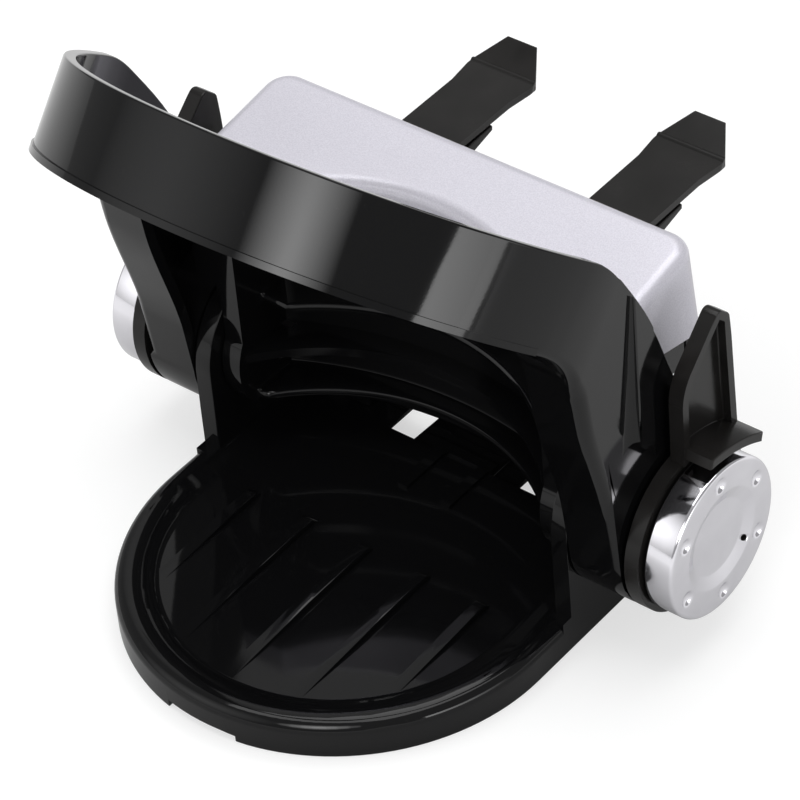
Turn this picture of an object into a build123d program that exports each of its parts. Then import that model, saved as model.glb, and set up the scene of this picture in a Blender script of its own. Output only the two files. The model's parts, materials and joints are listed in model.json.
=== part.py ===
"""Folding drink holder for a car's air vent.

A moulded housing hangs on the vent by two clips. A half-round ring arm, a ribbed tray and two
side support legs all swing on one hub axis, which runs along X through the housing's side lugs.
Every piece is drawn with the hub axis on the X axis, +Y towards the vent and +Z up, and is then
lifted so that the tray's underside lies on Z = 0. The pose is the photographed one: the tray down,
the ring raised half way, the legs up.
"""
import os
from math import cos, radians, sin, sqrt

from build123d import *

# Hub axis and its stack, from the middle outwards along X
HUB_HEIGHT = 24.3
LUG_INNER = 33.6
LUG_THICK = 4.0
SIDE_GAP = 0.4
EAR_THICK = 3.6
BARREL_WIDTH = 10.8
WASHER_GAP = 0.1
FRICTION_WASHER_THICK = 0.6
COLLAR_THICK = 2.8
SPRING_WASHER_THICK = 0.4
CAP_DEPTH = 5.5

LUG_OUTER = LUG_INNER + LUG_THICK
EAR_INNER = LUG_OUTER + SIDE_GAP
EAR_OUTER = EAR_INNER + EAR_THICK
BARREL_INNER = EAR_OUTER + SIDE_GAP
BARREL_OUTER = BARREL_INNER + BARREL_WIDTH
FRICTION_WASHER_INNER = BARREL_OUTER + WASHER_GAP
COLLAR_INNER = FRICTION_WASHER_INNER + FRICTION_WASHER_THICK + WASHER_GAP
COLLAR_OUTER = COLLAR_INNER + COLLAR_THICK
SPRING_WASHER_INNER = COLLAR_OUTER + WASHER_GAP
CAP_INNER = SPRING_WASHER_INNER + SPRING_WASHER_THICK + WASHER_GAP
CAP_FACE = CAP_INNER + CAP_DEPTH

HUB_RADIUS = 16.0
PIN_RADIUS = 4.0
RUNNING_CLEARANCE = 0.05
PIN_CAP_DEPTH = 3.6
WASHER_INSET = 6.0
WASHER_RADIUS = HUB_RADIUS - WASHER_INSET
SPRING_WASHER_INSET = 8.0
SPRING_WASHER_RADIUS = HUB_RADIUS - SPRING_WASHER_INSET

# Housing
WALL = 2.2
BACK_FACE = 19.6
BACK_PLATE_THICK = 2.2
HOUSING_OVERHANG = 5.8
HOUSING_HALF_WIDTH = LUG_OUTER + HOUSING_OVERHANG
HOUSING_FRONT = -11.3
HOUSING_BOTTOM = -12.5
SHOULDER = 17.6
LUG_RADIUS = 13.0
CUP_RADIUS = 42.2
CUP_BACK = 5.0
CUP_CENTRE = CUP_BACK - CUP_RADIUS
RECESS_RADIUS = 76.0
RECESS_DEPTH = 8.6
LEDGE_THICK = 1.8
LEDGE_LEVELS = (13.2, 3.0, -6.6)
LEDGE_FRONTS = (-5.2, -11.3, -9.0)
HOUSING_BACK = BACK_FACE - BACK_PLATE_THICK
STOP_FOOT_PLACE = 26.0
STOP_FOOT_WIDTH = 6.0
STOP_FOOT_FRONT = 9.0
STOP_FOOT_LENGTH = 5.0
STOP_GAP = 0.1

# Cover, a wedge that is taller at the back
COVER_OVERHANG = 1.9
COVER_HALF_WIDTH = HOUSING_HALF_WIDTH + COVER_OVERHANG
COVER_SPLAY = 1.9
COVER_WALL = 2.0
COVER_FRONT = -11.0
COVER_TOP_BACK = 45.0
COVER_TOP_SLOPE = 0.17
SEAM_BACK = 26.6
SEAM_SLOPE = 0.2
COVER_CORNER = 5.0
COVER_HORN = 2.4
COVER_EDGE = 2.4

# Fasteners
SCREW_RADIUS = 1.3
SCREW_HEAD_RADIUS = 2.3
SCREW_HEAD_HEIGHT = 1.6
SCREW_DEPTH = 5.0
SCREW_CLEARANCE = 0.1
BOSS_RADIUS = 3.0
SCREW_ROOM = 0.1
COVER_POST_REAR = (30.0, 11.0)
COVER_POST_FRONT = (HOUSING_HALF_WIDTH - WALL - SCREW_HEAD_RADIUS - SCREW_ROOM, -6.6)
BACK_BOSS_PLACES = ((-30.0, -6.5), (30.0, -6.5), (-37.5, 22.5), (37.5, 22.5))

# Vent clips
CLIP_SPACING = 41.6
CLIP_WIDTH = 13.0
CLIP_BARB = 0.7
CLIP_TOP = 33.0
CLIP_ROOT_DEPTH = 7.0
CLIP_CREST = 51.5
CLIP_TIP = 57.5
CLIP_TIP_RISE = 3.0
CLIP_TIP_WIDTH = 6.4
CLIP_JAW = 1.6
CLIP_MOUTH = 0.4
CLIP_SLIT = 1.0
CLIP_REACH = 12.0
CLIP_RIDGE = 0.7
CLIP_FLANGE_THICK = 1.8
CLIP_FLANGE_MARGIN = 2.4
CLIP_PEG_RADIUS = 2.4
CLIP_PEG_LEVEL = 22.8
CLIP_PEG_CLEARANCE = 0.05

# Ring arm, drawn lowered for use and then raised
RING_RAISE = 39.5
RING_WALL = 2.2
RING_CENTRE = 48.0
RING_BAND_LOW = 24.2
RING_BAND_HIGH = 40.9
RING_BAND_START = 62.0
RING_LIP = 0.6
RING_LIP_HEIGHT = 1.2
RING_FLANGE = 2.2
RING_BOSS_RADIUS = 7.5
RING_FOOT_ANGLE = 38.0
CHEEK_RIB_HEIGHT = 0.6
CHEEK_RIB_WIDTH = 1.8
CHEEK_RIB_TIP = 0.8
CHEEK_RIB_TOP = (42.5, 36.6)
CHEEK_RIB_FOOT = (25.0, 14.0)

# Tray
TRAY_THICK = 7.4
TRAY_FRONT = 67.5
TRAY_BACK = 17.5
TRAY_RIM = 4.6
TRAY_SLOPE = 3.6
TRAY_RECESS = 1.6
TRAY_FLOOR = 2.0
TRAY_SKIRT = 2.4
TRAY_EDGE = 2.4
TRAY_RIB_PITCH = 13.0
TRAY_RIB_WIDTH = 2.2
TRAY_RIB_HEIGHT = 1.3
TRAY_RIB_START = 20.3
TRAY_RIB_TAPER = 24.0
REAR_RIB_PLACE = 4.8
REAR_RIB_START = 4.5
WINDOW_INNER = 6.4
WINDOW_WIDTH = 10.6
WINDOW_FRONT = 7.0
WINDOW_LENGTH = 8.0
WINDOW_OPEN = 5.2
WINDOW_SILL = 0.8
WINDOW_FLARE = 5.0
NOTCH_WIDTH = 15.0
NOTCH_HEIGHT = 1.5

# Support legs
LEG_PLATE = 1.4
LEG_RELIEF = 0.6
LEG_BORDER = 1.6
LEG_BORDER_HEIGHT = 1.7
LEG_FRONT = 2.8
LEG_BACK = 13.2
LEG_SHOULDER = 32.0
LEG_TIP_PLACE = 8.2
LEG_TIP_HEIGHT = 42.4
LEG_TIP_BACK = 11.2
LEG_TIP_DROP = 2.8
LEG_BEND = 9.0
HOOD_WALL = 1.9
HOOD_GAP = 0.8
HOOD_BEND = 30.0
HOOD_TURN = 14.3
HOOD_FRONT = 6.6
HOOD_BACK = 8.7

# Hub caps
CAP_INSET = 1.0
CAP_RADIUS = HUB_RADIUS - CAP_INSET
CAP_WALL = 1.8
CAP_EDGE = 0.6
CAP_BOSS_RADIUS = 6.4
CAP_DISH_RADIUS = 9.7
CAP_DISC_RADIUS = 7.3
CAP_DISC_DROP = 0.9
CAP_DIMPLES = 6
CAP_DIMPLE_START = 0.0
CAP_DIMPLE_CIRCLE = 12.0
CAP_DIMPLE_RADIUS = 1.6
CAP_DIMPLE_FLOOR = 0.8
CAP_DIMPLE_DEPTH = 0.5

# Reach of a cutting block, past every edge
BEYOND = 80.0


def along_x(sketch, start, end):
    """Extrudes a sketch drawn in (Y, Z) from X = start to X = end."""
    return extrude(Plane.YZ.offset(start) * sketch, end - start, dir=(1, 0, 0))


def along_y(sketch, start, end):
    """Extrudes a sketch drawn in (X, Z) from Y = start to Y = end."""
    return extrude(Plane.XZ.offset(-start) * sketch, end - start, dir=(0, 1, 0))


def along_z(sketch, start, end):
    """Extrudes a sketch drawn in (X, Y) from Z = start to Z = end."""
    return extrude(Plane.XY.offset(start) * sketch, end - start, dir=(0, 0, 1))


def span(x_low, x_high, y_low, y_high):
    """A rectangle given by its limits."""
    centre = ((x_low + x_high) / 2, (y_low + y_high) / 2)
    return Pos(*centre) * Rectangle(x_high - x_low, y_high - y_low)


def disc_x(radius, start, end):
    """A solid disc on the hub axis."""
    return along_x(Circle(radius), start, end)


def both_sides(right):
    """A right-hand solid and its mirror image."""
    return right + mirror(right, Plane.YZ)


def bore():
    """The running bore round a pivot pin, right through one side."""
    return disc_x(PIN_RADIUS + RUNNING_CLEARANCE, LUG_OUTER, CAP_FACE)


def seam_level(y):
    """Height of the slanting seam between the housing and its cover."""
    return SEAM_BACK + SEAM_SLOPE * (BACK_FACE - y)


def cover_level(y):
    """Height of the cover's sloping top."""
    return COVER_TOP_BACK - COVER_TOP_SLOPE * (BACK_FACE - y)


def under_slope(level, drop):
    """A wide prism below a slanting plane, whose height at any Y is level(Y), lowered by drop."""
    side = Polygon(
        (-BEYOND, -BEYOND),
        (BEYOND, -BEYOND),
        (BEYOND, level(BEYOND) - drop),
        (-BEYOND, level(-BEYOND) - drop),
        align=None,
    )
    return along_x(side, -BEYOND, BEYOND)


def below_seam(drop=0.0):
    """Everything below the seam, lowered by drop, as a wide prism."""
    return under_slope(seam_level, drop)


def cup_gap():
    """Plan of the space that the cup takes."""
    return Pos(0, CUP_CENTRE) * Circle(CUP_RADIUS)


def recess_gap(offset=0.0):
    """Plan of the shallow hollow behind the ledges; offset moves its wall back."""
    radius = RECESS_RADIUS + offset
    return Pos(0, RECESS_DEPTH - RECESS_RADIUS) * Circle(radius)


def tray_floor_level():
    """Height of the tray's floor inside its rim."""
    return TRAY_THICK - HUB_HEIGHT - TRAY_RECESS


def cover_posts():
    """Plan places of the cover's four screws."""
    places = []
    for x, y in (COVER_POST_REAR, COVER_POST_FRONT):
        places += [(-x, y), (x, y)]
    return places


def screw_hole():
    """Plan of the hole round a screw's shank."""
    return Circle(SCREW_RADIUS + SCREW_CLEARANCE)


def make_housing():
    """Moulded housing: slanting deck, stepped sides, hollow cup wall with three ledges, two lugs."""
    high = seam_level(HOUSING_FRONT)
    side = span(HOUSING_FRONT, HOUSING_BACK, SHOULDER, high)
    upper = along_x(side, -HOUSING_HALF_WIDTH, HOUSING_HALF_WIDTH) & below_seam()
    lower_side = span(HOUSING_FRONT, HOUSING_BACK, 0, SHOULDER)
    lower_side += span(0, HOUSING_BACK, HOUSING_BOTTOM, SHOULDER)
    lower_side += Circle(LUG_RADIUS)
    lower = along_x(lower_side, -LUG_OUTER, LUG_OUTER)
    body = upper + lower

    room = LUG_OUTER - LUG_THICK
    inner = span(-room, room, HOUSING_FRONT - LUG_RADIUS, RECESS_DEPTH + WALL)
    body -= along_z(inner & recess_gap(), HOUSING_BOTTOM - LUG_RADIUS, high)
    back_low = span(-room, room, HOUSING_FRONT, HOUSING_BACK) - recess_gap(WALL)
    body -= along_z(back_low, HOUSING_BOTTOM + WALL, SHOULDER)
    wide = HOUSING_HALF_WIDTH - WALL
    cup_wall = recess_gap(WALL) & span(-room - WALL, room + WALL, HOUSING_FRONT, HOUSING_BACK)
    back_high = span(-wide, wide, HOUSING_FRONT + WALL, HOUSING_BACK) - cup_wall
    body -= along_z(back_high, SHOULDER + WALL, high) & below_seam(WALL)

    for level, front in zip(LEDGE_LEVELS, LEDGE_FRONTS):
        ledge = span(-LUG_INNER, LUG_INNER, front, RECESS_DEPTH + WALL) & recess_gap(WALL / 2)
        body += along_z(ledge - cup_gap(), level - LEDGE_THICK / 2, level + LEDGE_THICK / 2)

    for x, z in BACK_BOSS_PLACES:
        reach = RECESS_DEPTH - abs(x) * abs(x) / (2 * RECESS_RADIUS) + WALL / 2
        body += along_y(Pos(x, z) * Circle(BOSS_RADIUS), reach, HOUSING_BACK)
        body -= along_y(Pos(x, z) * screw_hole(), BACK_FACE - SCREW_DEPTH - WALL, HOUSING_BACK)
    for x, y in cover_posts():
        body -= along_z(Pos(x, y) * screw_hole(), SHOULDER + WALL, high)
    body -= both_sides(disc_x(PIN_RADIUS, LUG_INNER - WALL, LUG_OUTER))
    foot_place = Pos(STOP_FOOT_PLACE, STOP_FOOT_FRONT + STOP_FOOT_LENGTH / 2)
    foot = foot_place * Rectangle(STOP_FOOT_WIDTH, STOP_FOOT_LENGTH)
    body += both_sides(along_z(foot, tray_floor_level() + STOP_GAP, HOUSING_BOTTOM + WALL / 2))
    return body


def cover_plan(half):
    """Plan of the cover for a half width: rounded corners and a front hollowed by the cup."""
    plan = span(-half, half, COVER_FRONT, BACK_FACE)
    plan = fillet(plan.vertices(), COVER_CORNER)
    plan -= cup_gap()
    horns = plan.vertices().filter_by(lambda v: abs(v.X) < half - COVER_CORNER - COVER_EDGE and v.Y < 0)
    return fillet(horns, COVER_HORN)


def splayed(inset):
    """The cover's block, whose sides lean outwards towards the seam, shrunk by inset."""
    upper = cover_plan(COVER_HALF_WIDTH)
    lower = cover_plan(COVER_HALF_WIDTH + COVER_SPLAY)
    if inset:
        upper = offset(upper, -inset)
        lower = offset(lower, -inset)
    return loft([Plane.XY.offset(SEAM_BACK) * lower, Plane.XY.offset(COVER_TOP_BACK) * upper], ruled=True)


def under_cover_top(drop=0.0):
    """Everything below the cover's sloping top, lowered by drop."""
    return under_slope(cover_level, drop)


def make_top_cover():
    """Wedge-shaped cover shell with screw posts inside."""
    body = splayed(0.0) & under_cover_top()
    body -= below_seam()
    top_edges = body.faces().sort_by(Axis.Z)[-1].outer_wire().edges()
    body = fillet(top_edges, COVER_EDGE)
    body -= splayed(COVER_WALL) & under_cover_top(COVER_WALL)
    for x, y in cover_posts():
        post = along_z(Pos(x, y) * Circle(BOSS_RADIUS), SEAM_BACK, COVER_TOP_BACK)
        post = post & under_cover_top(COVER_WALL / 2)
        hole = along_z(Pos(x, y) * screw_hole(), SEAM_BACK, seam_level(y) + SCREW_DEPTH + WALL)
        body += post - below_seam() - hole
    return body


def make_back_plate():
    """Flat plate that closes the housing's back, with holes for its screws and the clip pegs."""
    top = seam_level(BACK_FACE)
    plan = span(-HOUSING_HALF_WIDTH, HOUSING_HALF_WIDTH, SHOULDER, top)
    plan += span(-LUG_OUTER, LUG_OUTER, HOUSING_BOTTOM, SHOULDER)
    for x, z in BACK_BOSS_PLACES:
        plan -= Pos(x, z) * screw_hole()
    for x in (-CLIP_SPACING / 2, CLIP_SPACING / 2):
        plan -= Pos(x, CLIP_PEG_LEVEL) * Circle(CLIP_PEG_RADIUS + CLIP_PEG_CLEARANCE)
    return along_y(plan, HOUSING_BACK, BACK_FACE)


def make_back_plate_screws():
    """Pan-head screws that hold the back plate."""
    screws = []
    for x, z in BACK_BOSS_PLACES:
        shank = along_y(Pos(x, z) * Circle(SCREW_RADIUS), BACK_FACE - SCREW_DEPTH, BACK_FACE)
        head = along_y(Pos(x, z) * Circle(SCREW_HEAD_RADIUS), BACK_FACE, BACK_FACE + SCREW_HEAD_HEIGHT)
        screws.append(shank + head)
    return Compound(children=screws)


def make_cover_screws():
    """Screws that hold the cover, driven up through the housing's deck."""
    screws = []
    for x, y in cover_posts():
        under = seam_level(y) - WALL - SEAM_SLOPE * SCREW_HEAD_RADIUS
        shank = along_z(Pos(x, y) * Circle(SCREW_RADIUS), under, seam_level(y) + SCREW_DEPTH)
        head = along_z(Pos(x, y) * Circle(SCREW_HEAD_RADIUS), under - SCREW_HEAD_HEIGHT, under)
        screws.append(shank + head)
    return Compound(children=screws)


def make_vent_clip(x):
    """Spring clip: flange and peg, level upper jaw with a turned-up tip, rising lower jaw."""
    root = BACK_FACE + CLIP_FLANGE_THICK
    low = CLIP_TOP - CLIP_ROOT_DEPTH
    under = CLIP_TOP - CLIP_JAW
    upper = Polygon(
        (root, CLIP_TOP),
        (CLIP_CREST, CLIP_TOP),
        (CLIP_TIP, CLIP_TOP + CLIP_TIP_RISE),
        (CLIP_TIP, CLIP_TOP + CLIP_TIP_RISE - CLIP_JAW / 2),
        (CLIP_CREST, under),
        (root, under),
        align=None,
    )
    slit = root + CLIP_ROOT_DEPTH
    mouth = under - CLIP_MOUTH
    lower = Polygon(
        (root, under),
        (slit, under),
        (slit, under - CLIP_SLIT),
        (CLIP_CREST - CLIP_REACH, mouth),
        (CLIP_CREST - CLIP_REACH, mouth - CLIP_JAW / 2),
        (root, low),
        align=None,
    )
    half = CLIP_WIDTH / 2
    barb = half + CLIP_BARB
    tip = CLIP_TIP_WIDTH / 2
    flare = half + CLIP_FLANGE_MARGIN
    neck = root + CLIP_FLANGE_MARGIN
    right_side = [
        (flare, root),
        (half + CLIP_BARB, root + CLIP_BARB),
        (half, neck),
        (half, CLIP_CREST - CLIP_ROOT_DEPTH),
        (barb, CLIP_CREST - CLIP_JAW),
        (barb, CLIP_CREST),
        (tip, CLIP_TIP),
    ]
    left_side = [(-px, py) for px, py in reversed(right_side)]
    plan = Polygon(*right_side, *left_side, align=None)
    ridge = Pos(CLIP_CREST, CLIP_TOP - CLIP_RIDGE / 2) * Circle(CLIP_RIDGE)
    body = along_x(upper + lower + ridge, -flare, flare) & along_z(plan, low, CLIP_TOP + CLIP_TIP_RISE)
    foot = CLIP_PEG_LEVEL - CLIP_PEG_RADIUS - CLIP_FLANGE_MARGIN
    flange = span(-flare, flare, foot, CLIP_TOP + CLIP_FLANGE_MARGIN)
    flange = fillet(flange.vertices(), CLIP_FLANGE_MARGIN)
    body += along_y(flange, BACK_FACE, root)
    body += along_y(Pos(0, CLIP_PEG_LEVEL) * Circle(CLIP_PEG_RADIUS), HOUSING_BACK, root)
    return Pos(x, 0, 0) * body


def ring_plan(inset):
    """Plan of the lowered ring arm: straight sides and a half-round front."""
    radius = BARREL_OUTER - inset
    return span(-radius, radius, -RING_CENTRE, HUB_RADIUS) + Pos(0, -RING_CENTRE) * Circle(radius)


def cheek_outline():
    """Side view of the lowered ring arm in (Y, Z): hub, widening cheek and level band."""
    reach = RING_CENTRE + BARREL_OUTER + RING_WALL
    upper = Spline(
        (-16.0, 23.2),
        (-34.4, 33.6),
        (-46.8, 38.7),
        (-57.0, RING_BAND_HIGH),
        tangents=[(-1, 0.52), (-1, 0)],
    )
    hub_top = Line((0, HUB_RADIUS), upper @ 0)
    lower = Spline(
        (-RING_BAND_START, RING_BAND_LOW),
        (-40.0, 12.2),
        (-20.0, -3.0),
        tangents=[(1, 0), (1, -0.9)],
    )
    band = Polyline(upper @ 1, (-reach, RING_BAND_HIGH), (-reach, RING_BAND_LOW), lower @ 0)
    foot = radians(RING_FOOT_ANGLE)
    hub_low = Line(lower @ 1, (-HUB_RADIUS * sin(foot), -HUB_RADIUS * cos(foot)))
    close = Polyline(hub_low @ 1, (0, 0), hub_top @ 0)
    arm = make_face(hub_top + upper + band + lower + hub_low + close)
    return arm + Circle(HUB_RADIUS)


def make_ring_arm():
    """Ring arm: one wall bent round the cup, with cheeks, front flanges, hub barrels and a thin lip."""
    high = RING_BAND_HIGH + RING_WALL
    wall = along_z(ring_plan(0) - ring_plan(RING_WALL), -HUB_RADIUS - RING_WALL, high)
    outline = cheek_outline()
    body = wall & along_x(outline, -BARREL_OUTER - RING_WALL, BARREL_OUTER + RING_WALL)

    inner_edge = Pos(0.62 * RING_FLANGE, 0.78 * RING_FLANGE) * outline
    strip = outline - inner_edge
    strip = strip & span(-RING_CENTRE - HUB_RADIUS, -HUB_RADIUS / 2, -HUB_RADIUS, RING_BAND_LOW)
    flange = along_x(strip, BARREL_INNER, BARREL_OUTER)
    flange = flange & along_z(ring_plan(RING_WALL / 2), -HUB_RADIUS, high)
    barrel = disc_x(HUB_RADIUS, BARREL_INNER, BARREL_OUTER)
    barrel -= disc_x(HUB_RADIUS - RING_WALL, BARREL_INNER, BARREL_OUTER - RING_WALL)
    barrel += disc_x(RING_BOSS_RADIUS, BARREL_INNER, BARREL_OUTER)
    body += both_sides(flange + barrel)

    lip_plan = Pos(0, -RING_CENTRE - RING_LIP) * Circle(BARREL_OUTER) - ring_plan(RING_WALL / 2)
    lip_plan = lip_plan & span(-BEYOND, BEYOND, -RING_CENTRE - BEYOND, -RING_BAND_START)
    body += along_z(lip_plan, RING_BAND_LOW, RING_BAND_LOW + RING_LIP_HEIGHT)

    top_y, top_z = CHEEK_RIB_TOP
    foot_y, foot_z = CHEEK_RIB_FOOT
    rib = Polygon(
        (-top_y - CHEEK_RIB_TIP / 2, top_z),
        (-top_y + CHEEK_RIB_TIP / 2, top_z),
        (-foot_y + CHEEK_RIB_WIDTH / 2, foot_z + CHEEK_RIB_WIDTH / 2),
        (-foot_y - CHEEK_RIB_WIDTH / 2, foot_z - CHEEK_RIB_WIDTH / 2),
        align=None,
    )
    body += both_sides(along_x(rib, BARREL_OUTER - RING_WALL / 2, BARREL_OUTER + CHEEK_RIB_HEIGHT))
    body -= both_sides(bore())
    return Rot(-RING_RAISE, 0, 0) * body


def tray_plan(inset, back):
    """Plan of the tray: straight sides and a half-round front, shrunk by inset."""
    radius = EAR_OUTER - inset
    centre = EAR_OUTER - TRAY_FRONT
    return span(-radius, radius, centre, back) + Pos(0, centre) * Circle(radius)


def tray_rib(x, floor):
    """One raised rib that tapers to nothing at the front."""
    reach = TRAY_FRONT - EAR_OUTER + sqrt((EAR_OUTER - TRAY_RIM - TRAY_SLOPE) ** 2 - x**2)
    side = Polygon(
        (-TRAY_RIB_START, floor),
        (-TRAY_RIB_START - TRAY_RIB_HEIGHT, floor + TRAY_RIB_HEIGHT),
        (-reach + TRAY_RIB_TAPER, floor + TRAY_RIB_HEIGHT),
        (-reach, floor),
        (-reach, floor - TRAY_FLOOR / 2),
        (-TRAY_RIB_START, floor - TRAY_FLOOR / 2),
        align=None,
    )
    return along_x(side, x - TRAY_RIB_WIDTH / 2, x + TRAY_RIB_WIDTH / 2)


def make_tray():
    """Ribbed tray with a raised rim, a hollow underside, two windows, a finger notch and hinge ears."""
    low = -HUB_HEIGHT
    top = low + TRAY_THICK
    floor = tray_floor_level()
    body = along_z(tray_plan(0, TRAY_BACK), low, top)
    rim = body.faces().sort_by(Axis.Z)[-1].outer_wire().edges()
    body = fillet(rim, TRAY_EDGE)
    dish_low = tray_plan(TRAY_RIM + TRAY_SLOPE, TRAY_BACK - TRAY_SKIRT)
    dish_high = tray_plan(TRAY_RIM, TRAY_BACK - TRAY_SKIRT)
    body -= loft([Plane.XY.offset(floor) * dish_low, Plane.XY.offset(top) * dish_high], ruled=True)
    body -= along_z(tray_plan(TRAY_SKIRT, TRAY_BACK - TRAY_SKIRT), low, floor - TRAY_FLOOR)
    for step in (-2, -1, 0, 1, 2):
        body += tray_rib(step * TRAY_RIB_PITCH, floor)
    for x in (-TRAY_RIB_PITCH * 1.5, 0, TRAY_RIB_PITCH * 1.5):
        half = TRAY_FLOOR / 2
        web = span(x - half, x + half, TRAY_SKIRT - TRAY_FRONT, WINDOW_FRONT - TRAY_FLOOR)
        body += along_z(web & tray_plan(TRAY_SKIRT / 2, TRAY_BACK), low, floor - TRAY_FLOOR / 2)
    cross = span(-WINDOW_INNER, WINDOW_INNER, WINDOW_FRONT, WINDOW_FRONT + TRAY_RIB_WIDTH)
    rear = span(-TRAY_RIB_WIDTH / 2, TRAY_RIB_WIDTH / 2, -REAR_RIB_START, WINDOW_FRONT + TRAY_RIB_WIDTH)
    cross += Pos(-REAR_RIB_PLACE, 0) * rear + Pos(REAR_RIB_PLACE, 0) * rear
    body += along_z(cross, floor - TRAY_FLOOR / 2, floor + TRAY_RIB_HEIGHT / 2)

    end = WINDOW_INNER + WINDOW_WIDTH
    window_back = WINDOW_FRONT + WINDOW_LENGTH
    split = end - WINDOW_OPEN
    window = span(split, end, WINDOW_FRONT, window_back)
    body -= both_sides(along_z(window, low, floor + TRAY_RIB_HEIGHT))
    gate = span(split, end + WINDOW_FLARE, WINDOW_FRONT, TRAY_BACK)
    body -= both_sides(along_z(gate, low, floor - WINDOW_SILL))
    pocket = span(WINDOW_INNER, split, WINDOW_FRONT, window_back)
    body -= both_sides(along_z(pocket, floor - WINDOW_SILL, floor + TRAY_RIB_HEIGHT))
    notch = span(-NOTCH_WIDTH / 2, NOTCH_WIDTH / 2, -TRAY_FRONT - TRAY_SKIRT, -TRAY_FRONT + 2 * TRAY_SKIRT)
    body -= along_z(notch, low, low + NOTCH_HEIGHT)

    ear = Circle(HUB_RADIUS) + span(-HUB_RADIUS, TRAY_BACK - TRAY_SKIRT, top - TRAY_EDGE, -HUB_RADIUS / 2)
    ear += span(-HUB_RADIUS, HUB_RADIUS / 2, top - TRAY_EDGE, 0)
    ear += span(-HUB_RADIUS - TRAY_EDGE, TRAY_BACK - TRAY_SKIRT, top - TRAY_THICK / 2, top)
    body += both_sides(along_x(ear, EAR_INNER, EAR_OUTER))
    body -= both_sides(disc_x(PIN_RADIUS + RUNNING_CLEARANCE, LUG_OUTER, BARREL_INNER))
    return body


def leg_outline():
    """Side view of a support leg's fin in (Y, Z), down to the hub axis."""
    fin = Polygon(
        (-LEG_FRONT, 0),
        (-LEG_FRONT, LEG_SHOULDER),
        (LEG_TIP_PLACE, LEG_TIP_HEIGHT),
        (LEG_TIP_BACK, LEG_TIP_HEIGHT - LEG_TIP_DROP),
        (LEG_BACK, 0),
        align=None,
    )
    shoulder = fin.vertices().filter_by(lambda v: v.X < 0 and v.Y > HUB_RADIUS)
    fin = fillet(shoulder, LEG_BEND)
    tip = fin.vertices().filter_by(lambda v: v.X > LEG_TIP_PLACE / 2 and v.Y > HUB_RADIUS)
    return fillet(tip, LEG_BORDER)


def make_support_leg():
    """Right-hand support leg: collar, bordered fin and a thumb hood that reaches over the cap."""
    plate_inner = COLLAR_INNER + LEG_RELIEF
    plate_outer = plate_inner + LEG_PLATE
    outline = leg_outline()
    clear = Circle(HUB_RADIUS)
    fin = along_x(outline + clear, plate_inner, plate_outer)
    fin += disc_x(HUB_RADIUS, COLLAR_INNER, COLLAR_OUTER)
    border = outline - offset(outline, -LEG_BORDER) - clear
    fin += along_x(border, plate_inner, plate_outer + LEG_BORDER_HEIGHT)

    arch = Circle(HOOD_BEND + HOOD_WALL) - Circle(HOOD_BEND)
    arch = arch & span(-HOOD_FRONT, HOOD_BACK, 0, HOOD_BEND + HOOD_WALL)
    hood = Rot(0, 0, -HOOD_TURN) * Pos(0, HUB_RADIUS + HOOD_GAP - HOOD_BEND) * arch
    fin += along_x(hood, plate_inner, CAP_FACE)
    fin -= bore()
    return fin


def make_hub_cap():
    """Right-hand round cap: turned shell with a sunk disc, six dimples and a boss for the pin."""
    face = CAP_DEPTH
    under = face - CAP_DISC_DROP - CAP_WALL
    profile = Polygon(
        (CAP_RADIUS - CAP_WALL, 0),
        (CAP_RADIUS, 0),
        (CAP_RADIUS, face - CAP_EDGE),
        (CAP_RADIUS - CAP_EDGE, face),
        (CAP_DISH_RADIUS, face),
        (CAP_DISC_RADIUS, face - CAP_DISC_DROP),
        (0, face - CAP_DISC_DROP),
        (0, PIN_CAP_DEPTH),
        (PIN_RADIUS, PIN_CAP_DEPTH),
        (PIN_RADIUS, 0),
        (CAP_BOSS_RADIUS, 0),
        (CAP_BOSS_RADIUS, under),
        (CAP_RADIUS - CAP_WALL, under),
        align=None,
    )
    body = revolve(Plane.XZ * profile, Axis.Z)
    dimple = Cone(CAP_DIMPLE_FLOOR, CAP_DIMPLE_RADIUS, CAP_DIMPLE_DEPTH)
    for place in PolarLocations(CAP_DIMPLE_CIRCLE, CAP_DIMPLES, CAP_DIMPLE_START):
        body -= Pos(0, 0, face - CAP_DIMPLE_DEPTH / 2) * place * dimple
    return Pos(CAP_INNER, 0, 0) * Rot(0, 90, 0) * body


def make_pivot_pin():
    """Right-hand pivot pin, pressed into the housing's lug and the cap's boss."""
    return disc_x(PIN_RADIUS, LUG_INNER, CAP_INNER + PIN_CAP_DEPTH)


def ring_washer(radius, start, thick):
    """A flat washer on the right-hand pivot pin."""
    return disc_x(radius, start, start + thick) - bore()


def pieces():
    """Every piece by name, in hub coordinates."""
    rights = {
        "support_leg": make_support_leg(),
        "hub_cap": make_hub_cap(),
        "pivot_pin": make_pivot_pin(),
        "friction_washer": ring_washer(WASHER_RADIUS, FRICTION_WASHER_INNER, FRICTION_WASHER_THICK),
        "spring_washer": ring_washer(SPRING_WASHER_RADIUS, SPRING_WASHER_INNER, SPRING_WASHER_THICK),
    }
    parts = {
        "housing": make_housing(),
        "top_cover": make_top_cover(),
        "cover_screws": make_cover_screws(),
        "back_plate": make_back_plate(),
        "back_plate_screws": make_back_plate_screws(),
        "vent_clip_left": make_vent_clip(-CLIP_SPACING / 2),
        "vent_clip_right": make_vent_clip(CLIP_SPACING / 2),
        "ring_arm": make_ring_arm(),
        "tray": make_tray(),
    }
    for name, right in rights.items():
        parts[name + "_right"] = right
        parts[name + "_left"] = mirror(right, Plane.YZ)
    return parts


os.makedirs("parts", exist_ok=True)
for node, shape in pieces().items():
    export_step(Pos(0, 0, HUB_HEIGHT) * shape, f"parts/{node}.step")
    print(node, round(shape.volume, 1))
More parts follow.
